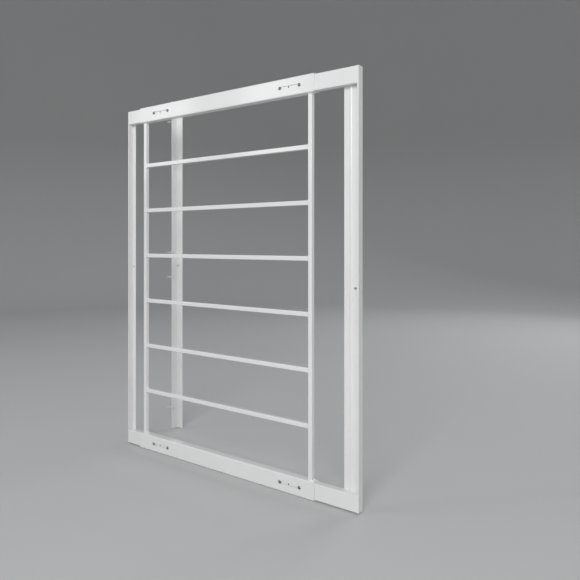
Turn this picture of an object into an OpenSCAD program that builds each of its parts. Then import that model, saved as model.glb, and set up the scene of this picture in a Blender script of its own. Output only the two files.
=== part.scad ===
// Telescoping window guard with its left jamb channel.
//
// Row frame, millimetres: X runs along the rails, Y into the window opening, Z up.
// X = 0 is the middle of the sleeve rails, Y = 0 the middle of their depth,
// Z = 0 the underside of the bottom sleeve rail.
//
// The guard is drawn as the photograph has it: pulled forward out of the opening,
// clear of the channel that is screwed to the left jamb.

/* [Guard frame] */
// Outside height over the two sleeve rails
frame_h = 800; // [600:5:1100]
// Length of a sleeve rail
sleeve_len = 500; // [460:5:700]
// Height of a sleeve rail's tube
rail_h = 35; // [32:1:50]
// Depth of a sleeve rail's tube, front to back
rail_d = 18; // [17:0.5:26]
// Wall of the sleeve and slide tubes
tube_t = 1.5; // [1.2:0.1:2]
// Outside corner radius of the sleeve tubes
corner_r = 2; // [1.8:0.1:4]
// Clearance all round between a slide tube and its sleeve
slide_gap = 0.5; // [0.3:0.1:0.8]
// Outside corner radius of the slide tubes
slide_r = 1; // [0.5:0.1:1.4]

/* [Bars and stiles] */
// Side of a square bar
bar_w = 9; // [6:0.5:14]
// Corner radius of a bar and of a stile
bar_r = 1.2; // [0.5:0.1:2.5]
// Width of a centre stile, along the rails
stile_w = 9; // [8:0.5:20]
// Depth of a centre stile, front to back
stile_d = 9; // [6:0.5:16]
// Distance from a sleeve's end to the outer side of the stile
stile_inset = 8; // [3:0.5:20]

/* [Telescoping ends] */
// Length of left slide tube in view beyond the sleeve, as photographed
left_show = 46; // [42:1:100]
// Length of right slide tube in view beyond the sleeve, as photographed
right_show = 95; // [75:1:140]
// Length of left slide tube inside the sleeve, as photographed
left_insert_len = 180; // [170:1:200]
// Length of right slide tube inside the sleeve, as photographed
right_insert_len = 160; // [150:1:200]
// How far the left end can close up from the photographed place
left_in = 20; // [5:1:22]
// How far the left end can draw out from the photographed place
left_out = 56; // [10:1:62]
// How far the right end can close up from the photographed place
right_in = 26; // [5:1:28]
// How far the right end can draw out from the photographed place
right_out = 34; // [10:1:40]

/* [End stiles] */
// Thickness of the outer flange
flange_t = 3; // [2:0.5:5]
// Thickness of the rear web
web_t = 1.5; // [1:0.1:2.5]
// Fillet where the web meets the flange
web_fillet = 1.6; // [0.5:0.1:3]
// Width of the left end stile, outer face to free edge
left_web_w = 12; // [12:0.5:30]
// Width of the right lock stile, outer face to free edge
right_web_w = 38; // [32:0.5:60]
// Distance from the outer face to the middle of the stiffening bead
bead_from_face = 23; // [20:0.5:26]
// Width of the stiffening bead
bead_w = 6; // [4:0.5:8]
// Height of the stiffening bead, forward of the web
bead_h = 2; // [1:0.25:3]
// Distance from the outer face to the middle of the lock slot
lock_from_face = 14; // [12:0.5:16]
// Length of the lock slot
lock_len = 6.5; // [5:0.5:8]
// Height of the lock slot
lock_h = 4.2; // [3:0.1:5]

/* [Clamp screws] */
// Distance from the sleeve's left end to the middle of the left clamp slot
left_clamp_from_end = 73; // [66:0.5:80]
// Distance from the sleeve's right end to the middle of the right clamp slot
right_clamp_from_end = 57.5; // [56:0.5:64]
// Spacing of the two screws in a clamp slot
clamp_span = 47; // [36:1:50]
// Height of the clamp slots in the sleeve and in the slide tube
clamp_slot_h = 4.6; // [4.3:0.1:6]
// Diameter of a clamp screw's shank
clamp_d = 4; // [3:0.5:4]
// Length of a clamp screw under its head
clamp_len = 10; // [9:0.5:11]
// Diameter of a clamp screw's button head
clamp_head_d = 7; // [6:0.5:9]
// Height of a clamp screw's button head
clamp_head_h = 2.2; // [1.8:0.1:3]
// Size across the flats of the head's hexagon socket
clamp_key = 2.5; // [2:0.5:3]
// Depth of the hexagon socket
clamp_key_deep = 1.3; // [0.8:0.1:1.6]
// Margin of a slide tube's slot past the screw at either end of the travel
slot_spare = 0.5; // [0.3:0.1:2]

/* [Nut bars] */
// Length of a nut bar beyond the two screws together
nut_bar_over = 14; // [10:1:20]
// Height of a nut bar
nut_bar_h = 14; // [10:1:22]
// Thickness of a nut bar
nut_bar_t = 4; // [3:0.5:5]
// Clearance between a nut bar and the slide tube's front wall
nut_bar_gap = 0.3; // [0.2:0.1:0.6]
// Depth of the rib's face behind the sleeve's front face
rib_sunk = 1; // [0.6:0.1:2.5]
// Clearance above and below the rib in the clamp slots
rib_gap = 0.3; // [0.3:0.05:0.5]
// Clearance between an end of the rib and the screw's shank
rib_end_gap = 0.6; // [0.4:0.1:1.2]
// Diameter of the small hole through the nut bar and its rib
nut_bar_eye = 3; // [2:0.1:3.2]
// Distance of the small hole from the nut bar's middle, to the left
eye_off = 2.5; // [0:0.5:6]

/* [Jamb channel] */
// Distance the guard is drawn forward from its seat in the channel
drawn_out = 143.5; // [60:0.5:200]
// Length of the channel, which stands on the same sill as the guard
channel_len = 850; // [810:5:1160]
// Thickness of the channel's metal
channel_t = 2; // [1.5:0.1:3]
// Depth of the channel's inside, from its front edge to the rear flange
channel_deep = 17.5; // [16:0.5:30]
// Width of the rear flange, measured inside the channel
channel_wide = 18.6; // [14:0.1:22]
// Outside bend radius of the channel
channel_r = 2.5; // [0.5:0.1:4]
// Side clearance between the guard's left face and the channel
channel_side_gap = 1; // [0.5:0.1:3]
// Clearance left behind the guard when it is seated
channel_seat_gap = 0.5; // [0.3:0.1:2]

/* [Locating pin] */
// Diameter of the locating pin
pin_d = 4.4; // [3:0.1:4.6]
// Length of the pin in front of the rear flange
pin_len = 8; // [5:0.5:12]
// Distance from the channel's inside face to the pin
pin_from_face = 6.9; // [6.6:0.1:9]
// Height of the chamfer round the pin's tip
pin_chamfer = 0.6; // [0.3:0.1:1]
// Diameter of the pin's tenon, riveted in the rear flange
pin_tenon_d = 3; // [2:0.1:3.6]
// Radial clearance of the hole that the pin enters
pin_hole_gap = 0.3; // [0.2:0.05:0.5]

/* [Jamb screws] */
// Distance from the channel's front edge to its screws
jamb_from_edge = 5; // [4.5:0.5:8]
// Distance of the inner pair of screws from the pin, up and down
jamb_inner = 32; // [20:1:60]
// Distance of the outer pair of screws from the pin, up and down
jamb_outer = 374; // [200:1:385]
// Diameter of a jamb screw's shank
jamb_d = 4; // [3:0.5:5]
// Length of a jamb screw, head and tip included
jamb_len = 25; // [16:1:40]
// Length of a jamb screw's pointed tip
jamb_tip = 5; // [3:0.5:8]
// Clearance round a jamb screw's shank
jamb_hole_gap = 0.2; // [0.1:0.05:0.5]
// Width of a blade of the cross recess
cross_w = 1; // [0.6:0.1:1.4]
// Span of the cross recess
cross_span = 4; // [2.5:0.5:5]
// Depth of the cross recess
cross_deep = 1; // [0.6:0.1:1.5]

/* [Hidden] */
$fn = 48;
// Overrun of a cutting tool past the face it opens
over = 1;
// Clearance between pieces that are assembled tight
tight = 0.02;

// Finishes: white powder coat and zinc-plated steel
white = [0.93, 0.93, 0.92];
zinc = [0.46, 0.47, 0.48];
bright_zinc = [0.74, 0.74, 0.72];

// Sleeve rails: their ends, their middle heights and the opening between them
sleeve_end = sleeve_len / 2;
bottom_z = rail_h / 2;
top_z = frame_h - rail_h / 2;
opening_h = frame_h - 2 * rail_h;
sleeve_front_y = -rail_d / 2;

// Bars: equal clear gaps between the rails
bar_count = 6;
bar_gap = (opening_h - bar_count * bar_w) / (bar_count + 1);
bar_pitch = bar_gap + bar_w;
bar_len = sleeve_len - 2 * (stile_inset + stile_w);
stile_x = sleeve_end - stile_inset - stile_w / 2;

// Slide tubes fit inside the sleeves with the sliding clearance
slide_step = tube_t + slide_gap;
slide_h = rail_h - 2 * slide_step;
slide_d = rail_d - 2 * slide_step;
left_face_x = -sleeve_end - left_show;
right_face_x = sleeve_end + right_show;

// End stiles: flanges close the slide tubes, webs lie flush with their rear walls
end_h = frame_h - 2 * slide_step;
web_h = end_h - 2 * slide_h;
web_front_y = slide_d / 2 - web_t;
bead_r = (pow(bead_w / 2, 2) + pow(bead_h, 2)) / (2 * bead_h);

// Clamps: the middles of the slots, and the nut bars with their ribs
left_clamp_x = left_clamp_from_end - sleeve_end;
right_clamp_x = sleeve_end - right_clamp_from_end;
slide_front_in_y = sleeve_front_y + slide_step + tube_t;
nut_bar_y = slide_front_in_y + nut_bar_gap + nut_bar_t / 2;
rib_front_y = sleeve_front_y + rib_sunk;
rib_len = clamp_span - clamp_d - 2 * rib_end_gap;
rib_h = clamp_slot_h - 2 * rib_gap;

// Jamb channel: the seated guard fits into it with its side and seat clearances
channel_face_x = left_face_x - channel_side_gap;
channel_flange_y = slide_d / 2 + drawn_out + channel_seat_gap;
channel_edge_y = channel_flange_y - channel_deep;
pin_x = channel_face_x + pin_from_face;
pin_z = channel_len / 2;
jamb_y = channel_edge_y + jamb_from_edge;
jamb_heights = [pin_z - jamb_outer, pin_z - jamb_inner, pin_z + jamb_inner, pin_z + jamb_outer];
// A right-angled countersink through the whole of the channel's metal
jamb_head_d = jamb_d + 2 * channel_t;

// Rectangle with round corners, centred
module round_rect(w, h, r) {
    square([w - 2 * r, h], center = true);
    square([w, h - 2 * r], center = true);
    for (sx = [-1, 1], sy = [-1, 1]) {
        translate([sx * (w / 2 - r), sy * (h / 2 - r)]) circle(r = r);
    }
}

// Slot outline between two end centres on the X axis
module slot_2d(x0, x1, h) {
    translate([x0, -h / 2]) square([x1 - x0, h]);
    translate([x0, 0]) circle(d = h);
    translate([x1, 0]) circle(d = h);
}

// Extrude a section drawn in depth and height along X, from x0 to x1
module along_x(x0, x1) {
    translate([x0, 0, 0]) rotate([90, 0, 90]) linear_extrude(height = x1 - x0) children();
}

// Extrude an outline drawn in X and Z through the depth, from y0 to y1
module through_y(y0, y1) {
    translate([0, y1, 0]) rotate([90, 0, 0]) linear_extrude(height = y1 - y0) children();
}

// Sleeve rail: a box tube with a clamp slot near each end of its front wall
module sleeve(z) {
    color(white) translate([0, 0, z]) difference() {
        along_x(-sleeve_end, sleeve_end) difference() {
            round_rect(rail_d, rail_h, corner_r);
            round_rect(rail_d - 2 * tube_t, rail_h - 2 * tube_t, corner_r - tube_t);
        }
        for (x = [left_clamp_x, right_clamp_x]) {
            through_y(sleeve_front_y - over, sleeve_front_y + tube_t + over)
                slot_2d(x - clamp_span / 2, x + clamp_span / 2, clamp_slot_h);
        }
    }
}

module top_sleeve() {
    sleeve(top_z);
}

module bottom_sleeve() {
    sleeve(bottom_z);
}

// Centre stile: welded upright between the two sleeves
module stile(x) {
    color(white) translate([x, 0, rail_h]) linear_extrude(height = opening_h)
        round_rect(stile_w, stile_d, bar_r);
}

module left_stile() {
    stile(-stile_x);
}

module right_stile() {
    stile(stile_x);
}

// Square bar number i, counted from the bottom, welded between the stiles
module bar(i) {
    z = rail_h + bar_gap + bar_w / 2 + (i - 1) * bar_pitch;
    color(white) translate([0, 0, z]) along_x(-bar_len / 2, bar_len / 2)
        round_rect(bar_w, bar_w, bar_r);
}

// Button-head screw, head forward, with its seat at the origin and its shank along +Y
module clamp_screw() {
    dome_r = (pow(clamp_head_d / 2, 2) + pow(clamp_head_h, 2)) / (2 * clamp_head_h);
    end_chamfer = clamp_d / 8;
    rotate([90, 0, 0]) {
        difference() {
            intersection() {
                translate([0, 0, clamp_head_h - dome_r]) sphere(r = dome_r);
                cylinder(d = clamp_head_d, h = clamp_head_h);
            }
            translate([0, 0, clamp_head_h - clamp_key_deep])
                cylinder(d = clamp_key / cos(30), h = clamp_key_deep + over, $fn = 6);
        }
        translate([0, 0, end_chamfer - clamp_len])
            cylinder(d = clamp_d, h = clamp_len - end_chamfer);
        translate([0, 0, -clamp_len])
            cylinder(d1 = clamp_d - 2 * end_chamfer, d2 = clamp_d, h = end_chamfer);
    }
}

// The two screws of the clamp slot that has its middle at x
module clamp_screws(x, z) {
    color(zinc) for (k = [-1, 1]) {
        translate([x + k * clamp_span / 2, sleeve_front_y, z]) clamp_screw();
    }
}

// Nut bar inside the slide tube, tapped for the two screws. Its rib reaches forward through
// the slide tube's long slot into the sleeve's slot, and shows there as the slot's floor.
module nut_bar(x, z) {
    color(white) translate([x, 0, z]) difference() {
        union() {
            translate([0, nut_bar_y, 0])
                cube([clamp_span + nut_bar_over, nut_bar_t, nut_bar_h], center = true);
            translate([-rib_len / 2, rib_front_y, -rib_h / 2])
                cube([rib_len, nut_bar_y - rib_front_y, rib_h]);
        }
        through_y(rib_front_y - over, nut_bar_y + nut_bar_t / 2 + over) {
            for (k = [-1, 1]) {
                translate([k * clamp_span / 2, 0]) circle(d = clamp_d + 2 * tight);
            }
            translate([-eye_off, 0]) circle(d = nut_bar_eye);
        }
    }
}

// Slide tube from x0 to x1, with a long slot in its front wall between s0 and s1
module slide_tube(x0, x1, s0, s1, z) {
    color(white) translate([0, 0, z]) difference() {
        along_x(x0, x1) difference() {
            round_rect(slide_d, slide_h, slide_r);
            square([slide_d - 2 * tube_t, slide_h - 2 * tube_t], center = true);
        }
        through_y(-slide_d / 2 - over, slide_front_in_y + over) slot_2d(s0, s1, clamp_slot_h);
    }
}

// Left slide tubes: the slot lets the screws pass over the whole travel
module left_slide(z) {
    slide_tube(
        left_face_x + flange_t,
        left_insert_len - sleeve_end,
        left_clamp_x - clamp_span / 2 - left_in - slot_spare,
        left_clamp_x + clamp_span / 2 + left_out + slot_spare,
        z
    );
}

module left_top_slide() {
    left_slide(top_z);
}

module left_bottom_slide() {
    left_slide(bottom_z);
}

// Right slide tubes
module right_slide(z) {
    slide_tube(
        sleeve_end - right_insert_len,
        right_face_x - flange_t,
        right_clamp_x - clamp_span / 2 - right_out - slot_spare,
        right_clamp_x + clamp_span / 2 + right_in + slot_spare,
        z
    );
}

module right_top_slide() {
    right_slide(top_z);
}

module right_bottom_slide() {
    right_slide(bottom_z);
}

// Section of a flange and rear web, outer face on x = 0 and the web towards +X
module stile_section(web_w) {
    translate([flange_t, web_front_y - web_fillet]) difference() {
        square(web_fillet);
        translate([web_fillet, 0]) circle(r = web_fillet);
    }
    translate([0, web_front_y]) square([web_w - web_t / 2, web_t]);
    translate([web_w - web_t / 2, web_front_y + web_t / 2]) circle(d = web_t);
}

// Flange of an end stile: a flat strip that closes both slide tubes
module end_flange() {
    translate([flange_t / 2, 0, slide_step]) linear_extrude(height = end_h)
        round_rect(flange_t, slide_d, flange_t / 4);
}

// Segment that the bead stands proud by, with its chord on y = 0 and its crown at -bead_h
module bead_segment() {
    intersection() {
        translate([0, bead_r - bead_h]) circle(r = bead_r);
        translate([-bead_w / 2, -bead_h]) square([bead_w, bead_h]);
    }
}

// Web section with the stiffening bead pressed forward through it at one wall thickness
module beaded_section(web_w) {
    difference() {
        union() {
            stile_section(web_w);
            translate([bead_from_face, web_front_y]) bead_segment();
        }
        translate([bead_from_face, web_front_y + web_t]) bead_segment();
    }
}

// Left end stile: flange and narrow web, with a hole for the channel's pin
module left_end_stile() {
    color(white) translate([left_face_x, 0, 0]) {
        end_flange();
        difference() {
            translate([0, 0, slide_step + slide_h]) linear_extrude(height = web_h)
                stile_section(left_web_w);
            translate([pin_x - left_face_x, 0, pin_z])
                through_y(web_front_y - over, web_front_y + web_t + over)
                    circle(d = pin_d + 2 * pin_hole_gap);
        }
    }
}

// Right lock stile: flange and wide beaded web, with a lock slot at mid-height
module right_lock_stile() {
    color(white) translate([right_face_x, 0, 0]) mirror([1, 0, 0]) {
        end_flange();
        difference() {
            translate([0, 0, slide_step + slide_h]) linear_extrude(height = web_h)
                beaded_section(right_web_w);
            translate([lock_from_face, 0, frame_h / 2])
                through_y(web_front_y - over, web_front_y + web_t + over)
                    slot_2d((lock_h - lock_len) / 2, (lock_len - lock_h) / 2, lock_h);
        }
    }
}

// Section of the channel, inside corner at the origin, front edge towards -Y
module channel_section() {
    difference() {
        union() {
            translate([-channel_t, -channel_deep]) square([channel_t, channel_deep + channel_t - channel_r]);
            translate([channel_r - channel_t, 0]) square([channel_wide + channel_t - channel_r, channel_t]);
            translate([channel_r - channel_t, channel_t - channel_r]) circle(r = channel_r);
        }
        translate([0, -channel_deep - channel_r]) square([channel_r + channel_t, channel_deep + channel_r]);
    }
}

// Jamb channel: web against the left jamb, rear flange as the guard's stop
module left_channel() {
    head_face_r = jamb_head_d / 2 + tight;
    hole_r = jamb_d / 2 + jamb_hole_gap;
    color(white) difference() {
        translate([channel_face_x, channel_flange_y, 0]) linear_extrude(height = channel_len)
            channel_section();
        for (z = jamb_heights) {
            translate([channel_face_x, jamb_y, z]) rotate([0, -90, 0]) {
                translate([0, 0, -over]) cylinder(r = hole_r, h = channel_t + 2 * over);
                cylinder(r1 = head_face_r, r2 = hole_r, h = channel_t);
            }
        }
        translate([pin_x, channel_flange_y, pin_z])
            through_y(-over, channel_t + over) circle(d = pin_tenon_d + 2 * tight);
    }
}

// Locating pin: shoulder on the rear flange, tenon through it
module locating_pin() {
    color(bright_zinc) translate([pin_x, channel_flange_y, pin_z]) rotate([90, 0, 0]) {
        translate([0, 0, -channel_t]) cylinder(d = pin_tenon_d, h = channel_t);
        cylinder(d = pin_d, h = pin_len - pin_chamfer);
        translate([0, 0, pin_len - pin_chamfer])
            cylinder(d1 = pin_d, d2 = pin_d - 2 * pin_chamfer, h = pin_chamfer);
    }
}

// Countersunk wood screw, head face at the origin and shank along +Z
module jamb_screw() {
    difference() {
        union() {
            cylinder(d1 = jamb_head_d, d2 = jamb_d, h = channel_t);
            cylinder(d = jamb_d, h = jamb_len - jamb_tip);
            translate([0, 0, jamb_len - jamb_tip]) cylinder(d1 = jamb_d, d2 = jamb_d / 10, h = jamb_tip);
        }
        for (turn = [0, 90]) {
            rotate([0, 0, turn]) translate([-cross_span / 2, -cross_w / 2, -over])
                cube([cross_span, cross_w, cross_deep + over]);
        }
    }
}

// The four screws that hold the channel to the jamb
module channel_screws() {
    color(bright_zinc) for (z = jamb_heights) {
        translate([channel_face_x, jamb_y, z]) rotate([0, -90, 0]) jamb_screw();
    }
}

top_sleeve();
bottom_sleeve();
left_stile();
right_stile();
bar(1);  // bar_1
bar(2);  // bar_2
bar(3);  // bar_3
bar(4);  // bar_4
bar(5);  // bar_5
bar(6);  // bar_6
clamp_screws(left_clamp_x, top_z);  // clamp_screws_top_left
clamp_screws(right_clamp_x, top_z);  // clamp_screws_top_right
clamp_screws(left_clamp_x, bottom_z);  // clamp_screws_bottom_left
clamp_screws(right_clamp_x, bottom_z);  // clamp_screws_bottom_right
nut_bar(left_clamp_x, top_z);  // nut_bar_top_left
nut_bar(right_clamp_x, top_z);  // nut_bar_top_right
nut_bar(left_clamp_x, bottom_z);  // nut_bar_bottom_left
nut_bar(right_clamp_x, bottom_z);  // nut_bar_bottom_right
left_top_slide();
left_bottom_slide();
left_end_stile();
right_top_slide();
right_bottom_slide();
right_lock_stile();
left_channel();
locating_pin();
channel_screws();
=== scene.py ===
from math import cos, pi, radians, sqrt

import bpy
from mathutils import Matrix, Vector


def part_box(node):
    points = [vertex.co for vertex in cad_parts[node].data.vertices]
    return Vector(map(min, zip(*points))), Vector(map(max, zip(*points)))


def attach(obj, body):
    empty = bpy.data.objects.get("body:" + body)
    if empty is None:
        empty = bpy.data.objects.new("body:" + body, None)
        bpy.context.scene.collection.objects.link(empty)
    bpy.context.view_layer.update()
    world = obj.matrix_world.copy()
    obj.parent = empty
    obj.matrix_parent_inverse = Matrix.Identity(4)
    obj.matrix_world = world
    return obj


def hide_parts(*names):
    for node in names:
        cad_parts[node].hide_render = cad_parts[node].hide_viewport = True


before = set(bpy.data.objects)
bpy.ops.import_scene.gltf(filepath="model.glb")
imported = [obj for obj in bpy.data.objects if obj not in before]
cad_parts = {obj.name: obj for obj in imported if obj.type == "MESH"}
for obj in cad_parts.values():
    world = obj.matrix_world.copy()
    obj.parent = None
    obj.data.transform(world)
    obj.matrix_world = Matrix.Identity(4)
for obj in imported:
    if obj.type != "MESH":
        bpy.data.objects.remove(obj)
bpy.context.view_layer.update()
bpy.ops.object.select_all(action='DESELECT')
MM = 0.001


# Camera: level, at a little over half the guard's height, well to the right of it and
# looking back to the left, so that the right end stands nearest.
bpy.ops.object.camera_add(location=(0.894, -0.936, 0.482), rotation=(radians(90), 0, radians(37.05)))
camera = bpy.context.object
camera.name = "camera"
camera.data.lens = 37.55
camera.data.sensor_width = 36
camera.data.shift_y = -0.081
bpy.context.scene.camera = camera


# Sleeve rails: two lengths of thin steel box tube, cut square and powder-coated white. Two
# slots are punched in the front wall of each, for the screws that clamp the slide tubes.
def block(name, low, high):
    """A box between two corners, with its place in its mesh."""
    middle = [(a + b) / 2 for a, b in zip(low, high)]
    bpy.ops.mesh.primitive_cube_add(size=1, location=middle, scale=[b - a for a, b in zip(low, high)])
    piece = bpy.context.object
    piece.name = name
    bpy.ops.object.transform_apply(location=True, rotation=True, scale=True)
    return piece


def make_active(piece):
    if bpy.context.mode != 'OBJECT':
        bpy.ops.object.mode_set(mode='OBJECT')
    bpy.ops.object.select_all(action='DESELECT')
    piece.select_set(True)
    bpy.context.view_layer.objects.active = piece


def pick(piece, kind, test):
    """Into edit mode, with the vertices, edges or faces selected whose corners pass the test."""
    make_active(piece)
    bpy.ops.object.mode_set(mode='EDIT')
    bpy.ops.mesh.select_mode(type=kind)
    bpy.ops.mesh.select_all(action='DESELECT')
    bpy.ops.object.mode_set(mode='OBJECT')
    mesh = piece.data
    if kind == 'VERT':
        for vertex in mesh.vertices:
            vertex.select = bool(test([vertex.co]))
    else:
        for item in mesh.edges if kind == 'EDGE' else mesh.polygons:
            item.select = bool(test([mesh.vertices[i].co for i in item.vertices]))
    bpy.ops.object.mode_set(mode='EDIT')


def at(axis, place, near=0.01 * MM):
    """A test for pick: every corner lies on this plane."""
    return lambda corners: all(abs(corner[axis] - place) < near for corner in corners)


def along(axis):
    """A test for pick: an edge that runs along this axis."""
    others = [i for i in range(3) if i != axis]
    return lambda corners: all(abs(corners[0][i] - corners[1][i]) < 0.001 * MM for i in others)


def round_edges(piece, test, radius, segments):
    pick(piece, 'EDGE', test)
    bpy.ops.mesh.bevel(offset=radius, offset_type='OFFSET', segments=segments, affect='EDGES')
    bpy.ops.mesh.select_all(action='SELECT')
    bpy.ops.mesh.remove_doubles(threshold=0.002 * MM)
    bpy.ops.object.mode_set(mode='OBJECT')


def apply_modifier(piece, kind, **settings):
    make_active(piece)
    modifier = piece.modifiers.new(kind.lower(), kind)
    for key, value in settings.items():
        setattr(modifier, key, value)
    bpy.ops.object.modifier_apply(modifier=modifier.name)


def cut(piece, *tools):
    """Cuts each tool out of the piece."""
    for tool in tools:
        apply_modifier(piece, 'BOOLEAN', operation='DIFFERENCE', solver='EXACT', object=tool)
        bpy.data.objects.remove(tool)


def shade_rounds(piece):
    """Shades the rounds smooth and keeps the flats flat."""
    make_active(piece)
    bpy.ops.object.shade_smooth_by_angle(angle=radians(50))
    apply_modifier(piece, 'WEIGHTED_NORMAL', keep_sharp=True, weight=100)


def soften(piece, width, segments=2):
    """Breaks the sharp edges as blasting and paint do."""
    apply_modifier(piece, 'BEVEL', width=width, segments=segments, limit_method='ANGLE',
                   angle_limit=radians(40), use_clamp_overlap=True)
    pick(piece, 'VERT', lambda corners: True)
    bpy.ops.mesh.dissolve_degenerate(threshold=0.002 * MM)
    bpy.ops.object.mode_set(mode='OBJECT')
    shade_rounds(piece)


def pill(x0, x1, height, y0, y1, z):
    """A cutter for a slot with round ends, through the depth, between two end centres."""
    tool = block("slot_punch", (x0 - height / 2, y0, z - height / 2), (x1 + height / 2, y1, z + height / 2))
    round_edges(tool, along(1), height / 2 - 0.005 * MM, 10)
    return tool


def box_tube(name, low, high, wall, radius):
    """A length of box tube along X, open at both ends."""
    tube = block(name, low, high)
    pick(tube, 'FACE', lambda corners: at(0, low[0])(corners) or at(0, high[0])(corners))
    bpy.ops.mesh.delete(type='FACE')
    bpy.ops.object.mode_set(mode='OBJECT')
    round_edges(tube, along(0), radius, 6)
    apply_modifier(tube, 'SOLIDIFY', thickness=wall, offset=-1, use_even_offset=True)
    return tube


def copy_piece(piece, name, move):
    """A copy with its own mesh, moved, and its place again in its mesh."""
    make_active(piece)
    bpy.ops.object.duplicate(linked=False)
    twin = bpy.context.object
    twin.name = name
    bpy.ops.transform.translate(value=move)
    bpy.ops.object.transform_apply(location=True, rotation=False, scale=False)
    return twin


def blank_material(name):
    """A new material with its shader, and texture coordinates in the object's own metres."""
    material = bpy.data.materials.new(name)
    material.use_nodes = True
    tree = material.node_tree
    coords = tree.nodes.new("ShaderNodeTexCoord").outputs["Object"]
    return material, tree, tree.nodes["Principled BSDF"], coords


def noise(tree, coords, scale, detail=2.0):
    """Noise of so many lumps a metre."""
    texture = tree.nodes.new("ShaderNodeTexNoise")
    texture.inputs["Scale"].default_value = scale
    texture.inputs["Detail"].default_value = detail
    tree.links.new(coords, texture.inputs["Vector"])
    return texture.outputs["Fac"]


def spread(tree, value, low, high, start=0.3, stop=0.7):
    """The middle of a noise's values spread from low to high."""
    ranged = tree.nodes.new("ShaderNodeMapRange")
    for key, number in (("From Min", start), ("From Max", stop), ("To Min", low), ("To Max", high)):
        ranged.inputs[key].default_value = number
    tree.links.new(value, ranged.inputs["Value"])
    return ranged.outputs["Result"]


def tint(tree, value, first, second):
    """A colour between two, by a value."""
    mix = tree.nodes.new("ShaderNodeMix")
    mix.data_type = 'RGBA'
    mix.inputs["A"].default_value = (*first, 1)
    mix.inputs["B"].default_value = (*second, 1)
    tree.links.new(value, mix.inputs["Factor"])
    return mix.outputs["Result"]


def relief(tree, shader, *layers):
    """Bumps one on another, each a height, its depth in metres and its strength."""
    below = None
    for height, depth, strength in layers:
        bump = tree.nodes.new("ShaderNodeBump")
        bump.inputs["Distance"].default_value = depth
        bump.inputs["Strength"].default_value = strength
        tree.links.new(height, bump.inputs["Height"])
        if below:
            tree.links.new(below, bump.inputs["Normal"])
        below = bump.outputs["Normal"]
    tree.links.new(below, shader.inputs["Normal"])


def powder_coat(name, clean, dulled, gloss):
    """Satin powder coat: fine orange peel, and a cloudiness too faint to see as marks."""
    material, tree, shader, coords = blank_material(name)
    cloud = noise(tree, coords, 7, 3)
    tree.links.new(tint(tree, spread(tree, cloud, 0, 1), clean, dulled), shader.inputs["Base Color"])
    tree.links.new(spread(tree, noise(tree, coords, 38), gloss, gloss + 0.05), shader.inputs["Roughness"])
    shader.inputs["Coat Weight"].default_value = 0.7
    shader.inputs["Coat Roughness"].default_value = 0.1
    waves = noise(tree, coords, 60)
    peel = noise(tree, coords, 620, 1)
    relief(tree, shader, (waves, 0.08 * MM, 0.06), (peel, 0.03 * MM, 0.35))
    return material


def finish_piece(piece, material, body, slot, *nodes):
    """Paints or plates a piece, hangs it on the body it rides on and hides the parts it stands for."""
    piece.data.materials.clear()
    piece.data.materials.append(material)
    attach(piece, body)
    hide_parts(*nodes)


white_coat = powder_coat("white_powder_coat", (0.87, 0.87, 0.865), (0.84, 0.84, 0.835), 0.21)
tube_wall = 1.5 * MM
slot_height = 4.6 * MM
screw_half_span = 23.5 * MM
slot_middles = {"left": -177 * MM, "right": 192.5 * MM}
edge_break = 0.25 * MM
punch_front = 2 * MM
punch_back = 4 * MM

low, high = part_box("bottom_sleeve")
rail_front = low[1]
rail_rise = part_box("top_sleeve")[0][2] - low[2]
bottom_z = (low[2] + high[2]) / 2
bottom_rail = box_tube("bottom_rail", low, high, tube_wall, radius=2 * MM)
for middle in slot_middles.values():
    cut(bottom_rail, pill(middle - screw_half_span, middle + screw_half_span, slot_height,
                          rail_front - punch_front, rail_front + punch_back, bottom_z))
soften(bottom_rail, edge_break)
top_rail = copy_piece(bottom_rail, "top_rail", (0, 0, rail_rise))
finish_piece(bottom_rail, white_coat, "centre_frame", "white_powder_coat", "bottom_sleeve")
finish_piece(top_rail, white_coat, "centre_frame", "white_powder_coat", "top_sleeve")


# Stiles: two square steel uprights between the rails, welded all round at either end. The
# welds are dressed and coated over, so that each shows as a small hollow fillet.
weld_steps = ((2.4, 0), (1.3, 0.35), (0.6, 0.9), (0, 1.7))


def flare(piece, axis, end, inward, grow):
    """Swells the last few millimetres towards one end as a weld fillet does. Each step is how
    far back from the end and how far out, in millimetres. grow says which of the other two
    directions swell."""
    for back, leg in weld_steps:
        place = [0, 0, 0]
        place[axis] = end + inward * back * MM
        normal = [0, 0, 0]
        normal[axis] = 1
        if back:
            make_active(piece)
            bpy.ops.object.mode_set(mode='EDIT')
            bpy.ops.mesh.select_all(action='SELECT')
            bpy.ops.mesh.bisect(plane_co=place, plane_no=normal)
            bpy.ops.object.mode_set(mode='OBJECT')
        if leg:
            pick(piece, 'VERT', at(axis, place[axis]))
            bpy.ops.object.mode_set(mode='OBJECT')
            ring = [vertex.co for vertex in piece.data.vertices if vertex.select]
            middle = [(min(p[i] for p in ring) + max(p[i] for p in ring)) / 2 for i in range(3)]
            size = [max(p[i] for p in ring) - min(p[i] for p in ring) for i in range(3)]
            factors = [1 + 2 * leg * MM / size[i] if i in grow else 1 for i in range(3)]
            bpy.ops.object.mode_set(mode='EDIT')
            bpy.ops.transform.resize(value=factors, center_override=middle)
            bpy.ops.object.mode_set(mode='OBJECT')


bar_radius = 1.2 * MM
low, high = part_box("left_stile")
left_upright = block("left_upright", low, high)
round_edges(left_upright, along(2), bar_radius, 4)
flare(left_upright, 2, low[2], 1, (0, 1))
flare(left_upright, 2, high[2], -1, (0, 1))
shade_rounds(left_upright)
right_upright = copy_piece(left_upright, "right_upright", (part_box("right_stile")[0][0] - low[0], 0, 0))
finish_piece(left_upright, white_coat, "centre_frame", "white_powder_coat", "left_stile")
finish_piece(right_upright, white_coat, "centre_frame", "white_powder_coat", "right_stile")


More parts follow.
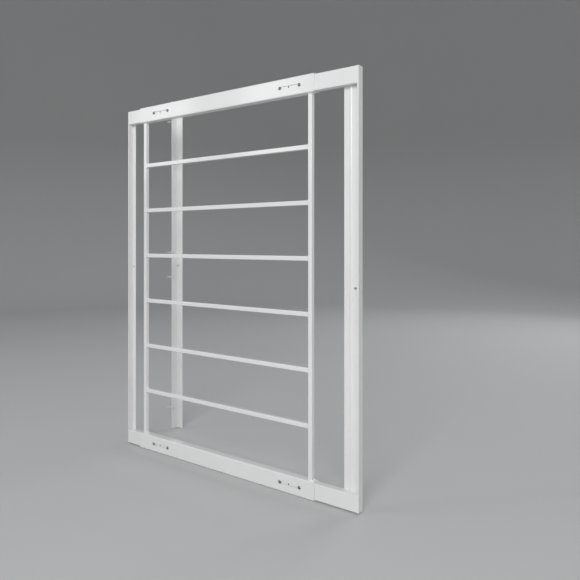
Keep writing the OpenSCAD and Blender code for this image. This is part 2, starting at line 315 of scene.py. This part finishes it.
# Bars: six square steel bars between the stiles, at equal gaps. Front and back lie flush with
# the stiles, so the fillet welds show above and below each end.
low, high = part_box("bar_1")
first_bar = block("cross_bar_1", low, high)
round_edges(first_bar, along(0), bar_radius, 4)
flare(first_bar, 0, low[0], 1, (2,))
flare(first_bar, 0, high[0], -1, (2,))
shade_rounds(first_bar)
for number in range(2, 7):
    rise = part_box(f"bar_{number}")[0][2] - low[2]
    bar = copy_piece(first_bar, f"cross_bar_{number}", (0, 0, rise))
    finish_piece(bar, white_coat, "centre_frame", "white_powder_coat", f"bar_{number}")
finish_piece(first_bar, white_coat, "centre_frame", "white_powder_coat", "bar_1")


# Clamp screws: button-head machine screws with a hexagon socket, zinc-plated and dull. Two in
# each slot pass through the sleeve and the slide tube's long slot into the nut bar.
def plated(name, bright, dark, gloss, grain):
    """Zinc plate: metal with a faint mottle, and fine turning or rolling marks in its shine."""
    material, tree, shader, coords = blank_material(name)
    shader.inputs["Metallic"].default_value = 1
    mottle = noise(tree, coords, 420, 3)
    tree.links.new(tint(tree, spread(tree, mottle, 0, 1), bright, dark), shader.inputs["Base Color"])
    tree.links.new(spread(tree, noise(tree, coords, 900), gloss, gloss + 0.16), shader.inputs["Roughness"])
    relief(tree, shader, (noise(tree, coords, grain, 2), 0.02 * MM, 0.3))
    return material


dull_zinc = plated("dull_zinc", (0.30, 0.31, 0.32), (0.21, 0.22, 0.23), 0.34, 1400)
head_radius = 3.5 * MM
head_height = 2.2 * MM
shank_radius = 2 * MM
shank_length = 10 * MM
shank_chamfer = 0.5 * MM
socket_flats = 2.5 * MM
socket_depth = 1.3 * MM
point_share = 0.75
dome_radius = (head_radius ** 2 + head_height ** 2) / (2 * head_height)

screw_x = slot_middles["left"] - screw_half_span
bpy.ops.mesh.primitive_uv_sphere_add(
    segments=40, ring_count=40, radius=dome_radius,
    location=(screw_x, rail_front - head_height + dome_radius, bottom_z), rotation=(radians(90), 0, 0))
screw = bpy.context.object
bpy.ops.object.transform_apply(location=True, rotation=True, scale=True)
bpy.ops.object.mode_set(mode='EDIT')
bpy.ops.mesh.select_all(action='SELECT')
bpy.ops.mesh.bisect(plane_co=(0, rail_front, 0), plane_no=(0, 1, 0), use_fill=True, clear_outer=True)
pick(screw, 'FACE', at(1, rail_front))
bpy.ops.mesh.inset(thickness=head_radius - shank_radius)
bpy.ops.mesh.extrude_region_move(TRANSFORM_OT_translate={"value": (0, shank_length - shank_chamfer, 0)})
bpy.ops.mesh.extrude_region_move(TRANSFORM_OT_translate={"value": (0, shank_chamfer, 0)})
bpy.ops.transform.resize(value=(point_share, 1, point_share),
                         center_override=(screw_x, rail_front + shank_length, bottom_z))
bpy.ops.object.mode_set(mode='OBJECT')
bpy.ops.mesh.primitive_cylinder_add(
    vertices=6, radius=socket_flats / 2 / cos(pi / 6), depth=2 * socket_depth,
    location=(screw_x, rail_front - head_height, bottom_z), rotation=(radians(90), 0, 0))
cut(screw, bpy.context.object)
soften(screw, width=0.12 * MM)
second_screw = copy_piece(screw, "screw", (2 * screw_half_span, 0, 0))
make_active(screw)
second_screw.select_set(True)
bpy.ops.object.join()
screw.name = "clamp_bolts_bottom_left"
side_shift = slot_middles["right"] - slot_middles["left"]
pair_moves = {
    "bottom_left": (0, 0, 0), "bottom_right": (side_shift, 0, 0),
    "top_left": (0, 0, rail_rise), "top_right": (side_shift, 0, rail_rise),
}
for corner, move in pair_moves.items():
    if corner != "bottom_left":
        pair = copy_piece(screw, f"clamp_bolts_{corner}", move)
        finish_piece(pair, dull_zinc, "centre_frame", "zinc_plate", f"clamp_screws_{corner}")
finish_piece(screw, dull_zinc, "centre_frame", "zinc_plate", "clamp_screws_bottom_left")


# Nut bars: a coated steel bar inside each slide tube, tapped for the two screws. Its rib keys
# into the slots and shows there as their floor, with a small hole near the middle whose wall
# is bare steel painted near black, a painted shade for the dark inside the hole.
low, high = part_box("nut_bar_bottom_left")
bar_thickness = 4 * MM
bar_front = high[1] - bar_thickness
rib_half = 20.9 * MM
rib_half_height = 2 * MM
tapped_radius = 2.02 * MM
middle_hole_radius = 1.5 * MM
middle_hole_shift = 2.5 * MM
middle_x = (low[0] + high[0]) / 2
nut_bar = block("nut_bar_bl", (low[0], bar_front, low[2]), high)
for place, normal in (((middle_x - rib_half, 0, 0), (1, 0, 0)), ((middle_x + rib_half, 0, 0), (1, 0, 0)),
                      ((0, 0, bottom_z - rib_half_height), (0, 0, 1)),
                      ((0, 0, bottom_z + rib_half_height), (0, 0, 1))):
    make_active(nut_bar)
    bpy.ops.object.mode_set(mode='EDIT')
    bpy.ops.mesh.select_all(action='SELECT')
    bpy.ops.mesh.bisect(plane_co=place, plane_no=normal)
    bpy.ops.object.mode_set(mode='OBJECT')
pick(nut_bar, 'FACE', lambda corners: at(1, bar_front)(corners) and all(
    abs(c[0] - middle_x) < rib_half + 0.01 * MM and abs(c[2] - bottom_z) < rib_half_height + 0.01 * MM
    for c in corners))
bpy.ops.mesh.extrude_region_move(TRANSFORM_OT_translate={"value": (0, low[1] - bar_front, 0)})
bpy.ops.object.mode_set(mode='OBJECT')
for x, radius in ((middle_x - screw_half_span, tapped_radius), (middle_x + screw_half_span, tapped_radius),
                  (middle_x - middle_hole_shift, middle_hole_radius)):
    bpy.ops.mesh.primitive_cylinder_add(vertices=32, radius=radius, depth=20 * MM,
                                        location=(x, high[1], bottom_z), rotation=(radians(90), 0, 0))
    cut(nut_bar, bpy.context.object)
soften(nut_bar, width=0.2 * MM)
# Bare steel for the hole walls, painted near black: a painted shade for the dark inside the holes.
bare_steel_painted_shade = plated("bare_steel_painted_shade", (0.12, 0.12, 0.12), (0.07, 0.07, 0.07), 0.5, 1400)


def finish_nut_bar(piece, node):
    """Coats the bar and gives the wall of its middle hole bare steel as drilling does, painted near
    black as a painted shade for the inside of the hole. Of the tapped holes, which the screws hide, only the
    sides of the walls get the same painted shade."""
    finish_piece(piece, white_coat, "centre_frame", "white_powder_coat", node)
    piece.data.materials.append(bare_steel_painted_shade)
    low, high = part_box(node)
    middle_z = (low[2] + high[2]) / 2
    hole_reach = rib_half_height - 0.3 * MM
    largest_wall_face = 4 * MM ** 2
    for face in piece.data.polygons:
        level = abs(face.center[2] - middle_z) < hole_reach
        faces_sideways = abs(face.normal[1]) < 0.2
        if level and faces_sideways and face.area < largest_wall_face:
            face.material_index = 1


for corner, move in pair_moves.items():
    if corner != "bottom_left":
        twin = copy_piece(nut_bar, f"nut_bar_{corner[0]}{corner.split('_')[1][0]}", move)
        finish_nut_bar(twin, f"nut_bar_{corner}")
finish_nut_bar(nut_bar, "nut_bar_bottom_left")


# Slide tubes: smaller box tubes that slide in the sleeves, two to each end frame. Each has one
# long slot in its front wall, as long as the travel, for the clamp screws to pass.
long_slots = {"left": (-221 * MM, -97 * MM), "right": (134.5 * MM, 242.5 * MM)}
for side, (slot_start, slot_stop) in long_slots.items():
    low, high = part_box(f"{side}_bottom_slide")
    slide = box_tube(f"{side}_lower_tube", low, high, tube_wall, radius=1 * MM)
    cut(slide, pill(slot_start, slot_stop, slot_height, low[1] - punch_front, low[1] + punch_back, bottom_z))
    soften(slide, edge_break)
    upper = copy_piece(slide, f"{side}_upper_tube", (0, 0, rail_rise))
    finish_piece(slide, white_coat, f"{side}_end", "white_powder_coat", f"{side}_bottom_slide")
    finish_piece(upper, white_coat, f"{side}_end", "white_powder_coat", f"{side}_top_slide")


# Left end stile: a flat strip welded over the ends of both slide tubes, with a narrow web
# along its rear edge. A hole in the web takes the channel's locating pin.
slide_step = 2 * MM
corner_fillet = 1.5 * MM
free_edge_round = 0.48


def flange_and_web(name, node, web_side, web_width, flange_thickness, web_thickness, bead=None):
    """The strip and the web as one piece. web_side is 1 where the web runs towards +X. The web
    ends at the slide tubes, which are a step lower than the sleeves."""
    low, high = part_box(node)
    outer_x = low[0] if web_side > 0 else high[0]
    inner_x = outer_x + web_side * flange_thickness
    free_x = outer_x + web_side * web_width
    web_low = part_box("bottom_sleeve")[1][2] - slide_step
    web_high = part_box("top_sleeve")[0][2] + slide_step
    strip = block(name, (min(outer_x, inner_x), low[1], low[2]), (max(outer_x, inner_x), high[1], high[2]))
    mid_x = outer_x + web_side * flange_thickness / 2
    web = block("web", (min(mid_x, free_x), high[1] - web_thickness, web_low),
                (max(mid_x, free_x), high[1], web_high))
    if bead:
        bead(web, outer_x, web_side)
    round_edges(web, lambda corners: along(2)(corners) and at(0, free_x)(corners),
                free_edge_round * web_thickness, 4)
    apply_modifier(strip, 'BOOLEAN', operation='UNION', solver='EXACT', object=web)
    bpy.data.objects.remove(web)
    web_front = high[1] - web_thickness
    near = 0.02 * MM
    round_edges(strip, lambda corners: along(2)(corners) and all(
        abs(c[0] - inner_x) < near and abs(c[1] - web_front) < near
        and web_low - near < c[2] < web_high + near for c in corners), corner_fillet, 5)
    return strip, outer_x, low, high


strip_thickness = 3 * MM
web_thickness = 1.5 * MM
left_stile_width = 12 * MM
pin_hole_radius = 2.5 * MM
pin_x = sum(corner[0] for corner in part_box("locating_pin")) / 2
pin_z = sum(corner[2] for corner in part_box("locating_pin")) / 2
left_end, _, low, high = flange_and_web(
    "left_end_upright", "left_end_stile", 1, left_stile_width, strip_thickness, web_thickness)
bpy.ops.mesh.primitive_cylinder_add(vertices=36, radius=pin_hole_radius, depth=8 * MM,
                                    location=(pin_x, high[1] - web_thickness / 2, pin_z),
                                    rotation=(radians(90), 0, 0))
cut(left_end, bpy.context.object)
soften(left_end, width=0.35 * MM, segments=3)
finish_piece(left_end, white_coat, "left_end", "white_powder_coat", "left_end_stile")


# Right lock stile: the same strip with a wide web, stiffened by a bead that is pressed forward
# over its whole height. A short slot at mid-height takes the lock screw.
lock_stile_width = 38 * MM
bead_from_face = 23 * MM
bead_half = 3 * MM
bead_height = 2 * MM
lock_from_face = 14 * MM
lock_length = 6.5 * MM
lock_height = 4.2 * MM
lock_z = 0.4


def press_bead(web, outer_x, web_side):
    """Cuts lines into the web at the bead and presses them forward to a round crown."""
    bead_x = outer_x + web_side * bead_from_face
    crown = (bead_half ** 2 + bead_height ** 2) / (2 * bead_height)
    lines = [bead_half * (step / 6) for step in range(-6, 7)]
    for line in lines:
        make_active(web)
        bpy.ops.object.mode_set(mode='EDIT')
        bpy.ops.mesh.select_all(action='SELECT')
        bpy.ops.mesh.bisect(plane_co=(bead_x + line, 0, 0), plane_no=(1, 0, 0))
        bpy.ops.object.mode_set(mode='OBJECT')
    for line in lines[1:-1]:
        pick(web, 'VERT', at(0, bead_x + line))
        rise = sqrt(crown ** 2 - line ** 2) - (crown - bead_height)
        bpy.ops.transform.translate(value=(0, -rise, 0))
        bpy.ops.object.mode_set(mode='OBJECT')


lock_stile, outer_x, low, high = flange_and_web(
    "lock_upright", "right_lock_stile", -1, lock_stile_width, strip_thickness, web_thickness, press_bead)
lock_x = outer_x - lock_from_face
lock_half = (lock_length - lock_height) / 2
cut(lock_stile, pill(lock_x - lock_half, lock_x + lock_half, lock_height,
                     high[1] - punch_back, high[1] + punch_back, lock_z))
soften(lock_stile, width=0.3 * MM, segments=3)
finish_piece(lock_stile, white_coat, "right_end", "white_powder_coat", "right_lock_stile")


# Jamb channel: an angle folded from 2 mm steel sheet and coated. One wall is screwed to the
# left jamb through countersunk holes, and the other is the stop behind the seated guard.
low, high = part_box("left_channel")
sheet = 2 * MM
fold_radius = 2.5 * MM
bpy.ops.mesh.primitive_plane_add(size=1, location=(low[0], (low[1] + high[1]) / 2, (low[2] + high[2]) / 2),
                                 rotation=(0, radians(90), 0))
channel = bpy.context.object
channel.name = "jamb_angle"
channel.scale = (high[2] - low[2], high[1] - low[1], 1)
bpy.ops.object.transform_apply(location=True, rotation=True, scale=True)
pick(channel, 'EDGE', at(1, high[1]))
bpy.ops.mesh.extrude_edges_move(TRANSFORM_OT_translate={"value": (high[0] - low[0], 0, 0)})
bpy.ops.mesh.select_all(action='SELECT')
bpy.ops.mesh.normals_make_consistent(inside=False)
bpy.ops.object.mode_set(mode='OBJECT')
round_edges(channel, lambda corners: at(1, high[1])(corners) and at(0, low[0])(corners), fold_radius, 8)
apply_modifier(channel, 'SOLIDIFY', thickness=sheet, offset=-1, use_even_offset=True)
soften(channel, edge_break)

jamb_inset = 5 * MM
jamb_y = low[1] + jamb_inset
jamb_rises = (-374 * MM, -32 * MM, 32 * MM, 374 * MM)
screw_radius = 2 * MM
cone_radius = screw_radius + sheet
hole_radius = 2.2 * MM
sink_radius = cone_radius + 0.02 * MM
flare_out = (sink_radius - hole_radius) / sheet
past_wall = 1 * MM
for rise in jamb_rises:
    bpy.ops.mesh.primitive_cone_add(
        vertices=40, radius1=hole_radius - flare_out * past_wall,
        radius2=sink_radius + flare_out * past_wall, depth=sheet + 2 * past_wall,
        location=(low[0] + sheet / 2, jamb_y, pin_z + rise),
        rotation=(0, radians(90), 0))
    cut(channel, bpy.context.object)
tenon_radius = 1.5 * MM
tenon_gap = 0.02 * MM
bpy.ops.mesh.primitive_cylinder_add(vertices=32, radius=tenon_radius + tenon_gap, depth=8 * MM,
                                    location=(pin_x, high[1] - sheet / 2, pin_z),
                                    rotation=(radians(90), 0, 0))
cut(channel, bpy.context.object)
shade_rounds(channel)
finish_piece(channel, white_coat, "jamb_channel", "white_powder_coat", "left_channel")


# Locating pin: a turned steel pin, riveted through the channel's rear wall by its tenon. The
# guard's left edge seats over it.
bright_zinc = plated("bright_zinc", (0.86, 0.86, 0.84), (0.76, 0.76, 0.74), 0.34, 1800)
low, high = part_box("locating_pin")
pin_radius = (high[0] - low[0]) / 2
nose_round = 0.6 * MM
stop_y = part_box("left_channel")[1][1] - sheet
bpy.ops.mesh.primitive_cylinder_add(vertices=40, radius=pin_radius, depth=stop_y - low[1],
                                    location=(pin_x, (stop_y + low[1]) / 2, pin_z),
                                    rotation=(radians(90), 0, 0))
pin = bpy.context.object
pin.name = "seat_pin"
bpy.ops.object.transform_apply(location=True, rotation=True, scale=True)
pick(pin, 'FACE', at(1, stop_y))
bpy.ops.mesh.inset(thickness=pin_radius - tenon_radius)
bpy.ops.mesh.extrude_region_move(TRANSFORM_OT_translate={"value": (0, high[1] - stop_y, 0)})
bpy.ops.object.mode_set(mode='OBJECT')
round_edges(pin, at(1, low[1]), nose_round, 3)
soften(pin, width=0.08 * MM)
finish_piece(pin, bright_zinc, "jamb_channel", "bright_zinc", "locating_pin")


# Jamb screws: four countersunk wood screws with a cross recess, bright zinc. Their threads
# stand out behind the channel, where they bite in the jamb.
low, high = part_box("channel_screws")
tip_x = low[0]
head_x = high[0]
tip_length = 5 * MM
tip_share = 0.12
head_depth = sheet
core_radius = 1.35 * MM
cross_depth = 1 * MM
cross_width = 1 * MM
cross_length = 4 * MM
cross_taper = 0.45
screw_z = pin_z + jamb_rises[0]
bpy.ops.mesh.primitive_cone_add(
    vertices=40, radius1=core_radius, radius2=cone_radius, depth=head_depth,
    location=(head_x - head_depth / 2, jamb_y, screw_z), rotation=(0, radians(90), 0))
wood_screw = bpy.context.object
bpy.ops.object.transform_apply(location=True, rotation=True, scale=True)
pick(wood_screw, 'FACE', at(0, head_x - head_depth))
straight = head_x - head_depth - tip_x - tip_length
bpy.ops.mesh.extrude_region_move(TRANSFORM_OT_translate={"value": (-straight, 0, 0)})
bpy.ops.mesh.extrude_region_move(TRANSFORM_OT_translate={"value": (-tip_length, 0, 0)})
bpy.ops.transform.resize(value=(1, tip_share, tip_share), center_override=(tip_x, jamb_y, screw_z))
bpy.ops.object.mode_set(mode='OBJECT')
for turn in (0, 90):
    bpy.ops.mesh.primitive_cube_add(size=1, location=(head_x, jamb_y, screw_z),
                                    rotation=(radians(turn), 0, 0),
                                    scale=(2 * cross_depth, cross_width, cross_length))
    blade = bpy.context.object
    bpy.ops.object.transform_apply(location=True, rotation=True, scale=True)
    pick(blade, 'VERT', at(0, head_x - cross_depth))
    bpy.ops.transform.resize(value=(1, cross_taper, cross_taper),
                             center_override=(head_x - cross_depth, jamb_y, screw_z))
    bpy.ops.object.mode_set(mode='OBJECT')
    cut(wood_screw, blade)
soften(wood_screw, width=0.08 * MM)

# The thread: a ridge wound round the core, from under the head to the tip, where it runs out.
thread_pitch = 1.7 * MM
steps_a_turn = 18
below_head = 0.4 * MM
short_of_tip = 1.2 * MM
ridge_foot = 0.45 * MM
ridge_crest = 0.06 * MM
ridge_root = core_radius - 0.12 * MM
turns = (straight + tip_length - short_of_tip) / thread_pitch
start_x = head_x - head_depth - below_head
bpy.ops.mesh.primitive_plane_add(size=1 * MM, location=(start_x, jamb_y, screw_z))
thread = bpy.context.object
bpy.ops.object.transform_apply(location=True, rotation=True, scale=True)
profile = ((ridge_foot, ridge_root), (ridge_crest, screw_radius),
           (-ridge_crest, screw_radius), (-ridge_foot, ridge_root))
corners = [thread.data.vertices[i] for i in thread.data.polygons[0].vertices]
for vertex, (x, radius) in zip(corners, profile):
    vertex.co = (start_x + x, jamb_y, screw_z + radius)
bpy.ops.object.mode_set(mode='EDIT')
bpy.ops.mesh.select_all(action='SELECT')
for step in range(int(turns * steps_a_turn)):
    bpy.ops.mesh.extrude_region_move(TRANSFORM_OT_translate={"value": (-thread_pitch / steps_a_turn, 0, 0)})
    bpy.ops.transform.rotate(value=radians(360 / steps_a_turn), orient_axis='X',
                             center_override=(start_x, jamb_y, screw_z))
bpy.ops.mesh.select_all(action='SELECT')
bpy.ops.mesh.normals_make_consistent(inside=False)
bpy.ops.object.mode_set(mode='OBJECT')
for vertex in thread.data.vertices:
    into_tip = max(0, (tip_x + tip_length - vertex.co[0]) / tip_length)
    shrink = 1 - (1 - tip_share) * min(1, into_tip)
    vertex.co[1] = jamb_y + (vertex.co[1] - jamb_y) * shrink
    vertex.co[2] = screw_z + (vertex.co[2] - screw_z) * shrink
make_active(thread)
bpy.ops.object.shade_smooth_by_angle(angle=radians(32))
make_active(wood_screw)
thread.select_set(True)
bpy.ops.object.join()
screws = [wood_screw]
for rise in jamb_rises[1:]:
    screws.append(copy_piece(wood_screw, "wood_screw", (0, 0, rise - jamb_rises[0])))
make_active(wood_screw)
for twin in screws:
    twin.select_set(True)
bpy.ops.object.join()
wood_screw.name = "jamb_wood_screws"
finish_piece(wood_screw, bright_zinc, "jamb_channel", "bright_zinc", "channel_screws")


# Studio: a round pale floor that curves up into a wall on every side, so that there is no
# horizon from any angle.
studio_radius = 5
studio_height = 5
floor_drop = 0.6 * MM
cove_radius = 1.6
bpy.ops.mesh.primitive_cylinder_add(vertices=96, radius=studio_radius, depth=studio_height,
                                    location=(0, 0, studio_height / 2 - floor_drop))
studio = bpy.context.object
studio.name = "studio_floor"
bpy.ops.object.transform_apply(location=True, rotation=True, scale=True)
pick(studio, 'FACE', lambda corners: all(corner[2] > 4 for corner in corners))
bpy.ops.mesh.delete(type='FACE')
bpy.ops.object.mode_set(mode='OBJECT')
round_edges(studio, lambda corners: all(corner[2] < 0.01 for corner in corners), cove_radius, 24)
bpy.ops.object.shade_smooth()
paper, tree, shader, coords = blank_material("studio_paper")
# Painted shade: the paper goes from the floor's grey to a darker grey over the first 1.5 m up the wall,
# standing in for the light falling off with height.
height = tree.nodes.new("ShaderNodeSeparateXYZ")
tree.links.new(coords, height.inputs["Vector"])
wall_painted_shade = spread(tree, height.outputs["Z"], 0, 1, 0.0, 1.5)
floor_tone = tint(tree, noise(tree, coords, 1.2), (0.57, 0.57, 0.57), (0.60, 0.60, 0.60))
blend = tree.nodes.new("ShaderNodeMix")
blend.data_type = 'RGBA'
blend.inputs["B"].default_value = (0.42, 0.42, 0.42, 1)
tree.links.new(wall_painted_shade, blend.inputs["Factor"])
tree.links.new(floor_tone, blend.inputs["A"])
tree.links.new(blend.outputs["Result"], shader.inputs["Base Color"])
shader.inputs["Roughness"].default_value = 0.85
relief(tree, shader, (noise(tree, coords, 300), 0.05 * MM, 0.2))
studio.data.materials.append(paper)


# Light: two narrow lamps at the left for soft bands on the rails, a broad one to the right
# behind the camera for the fronts, a broad one behind the guard, and a faint glow all round.
guard_middle = (0, 0, 0.4)


def soft_lamp(name, place, width, height, power):
    """A rectangular lamp that points at the guard and isn't seen itself."""
    bpy.ops.object.light_add(type='AREA', location=place)
    lamp = bpy.context.object
    lamp.name = name
    lamp.data.shape = 'RECTANGLE'
    lamp.data.size = width
    lamp.data.size_y = height
    lamp.data.energy = power
    lamp.visible_camera = False
    lamp.rotation_euler = (Vector(guard_middle) - Vector(place)).to_track_quat('-Z', 'Y').to_euler()


soft_lamp("far_left_lamp", (-2.35, -1.92, 1.7), width=0.4, height=1.6, power=5.5)
soft_lamp("near_left_lamp", (-1.68, -2.28, 1.7), width=0.4, height=1.6, power=5)
soft_lamp("right_lamp", (1.6, -2.7, 1.75), width=2.0, height=1.6, power=69)
soft_lamp("back_lamp", (0.6, 3.0, 1.9), width=2.0, height=1.6, power=26)

world = bpy.data.worlds.new("studio_glow")
world.use_nodes = True
world.node_tree.nodes["Background"].inputs["Color"].default_value = (0.9, 0.92, 0.95, 1)
world.node_tree.nodes["Background"].inputs["Strength"].default_value = 0.45
bpy.context.scene.world = world
bpy.context.scene.view_settings.view_transform = 'Standard'
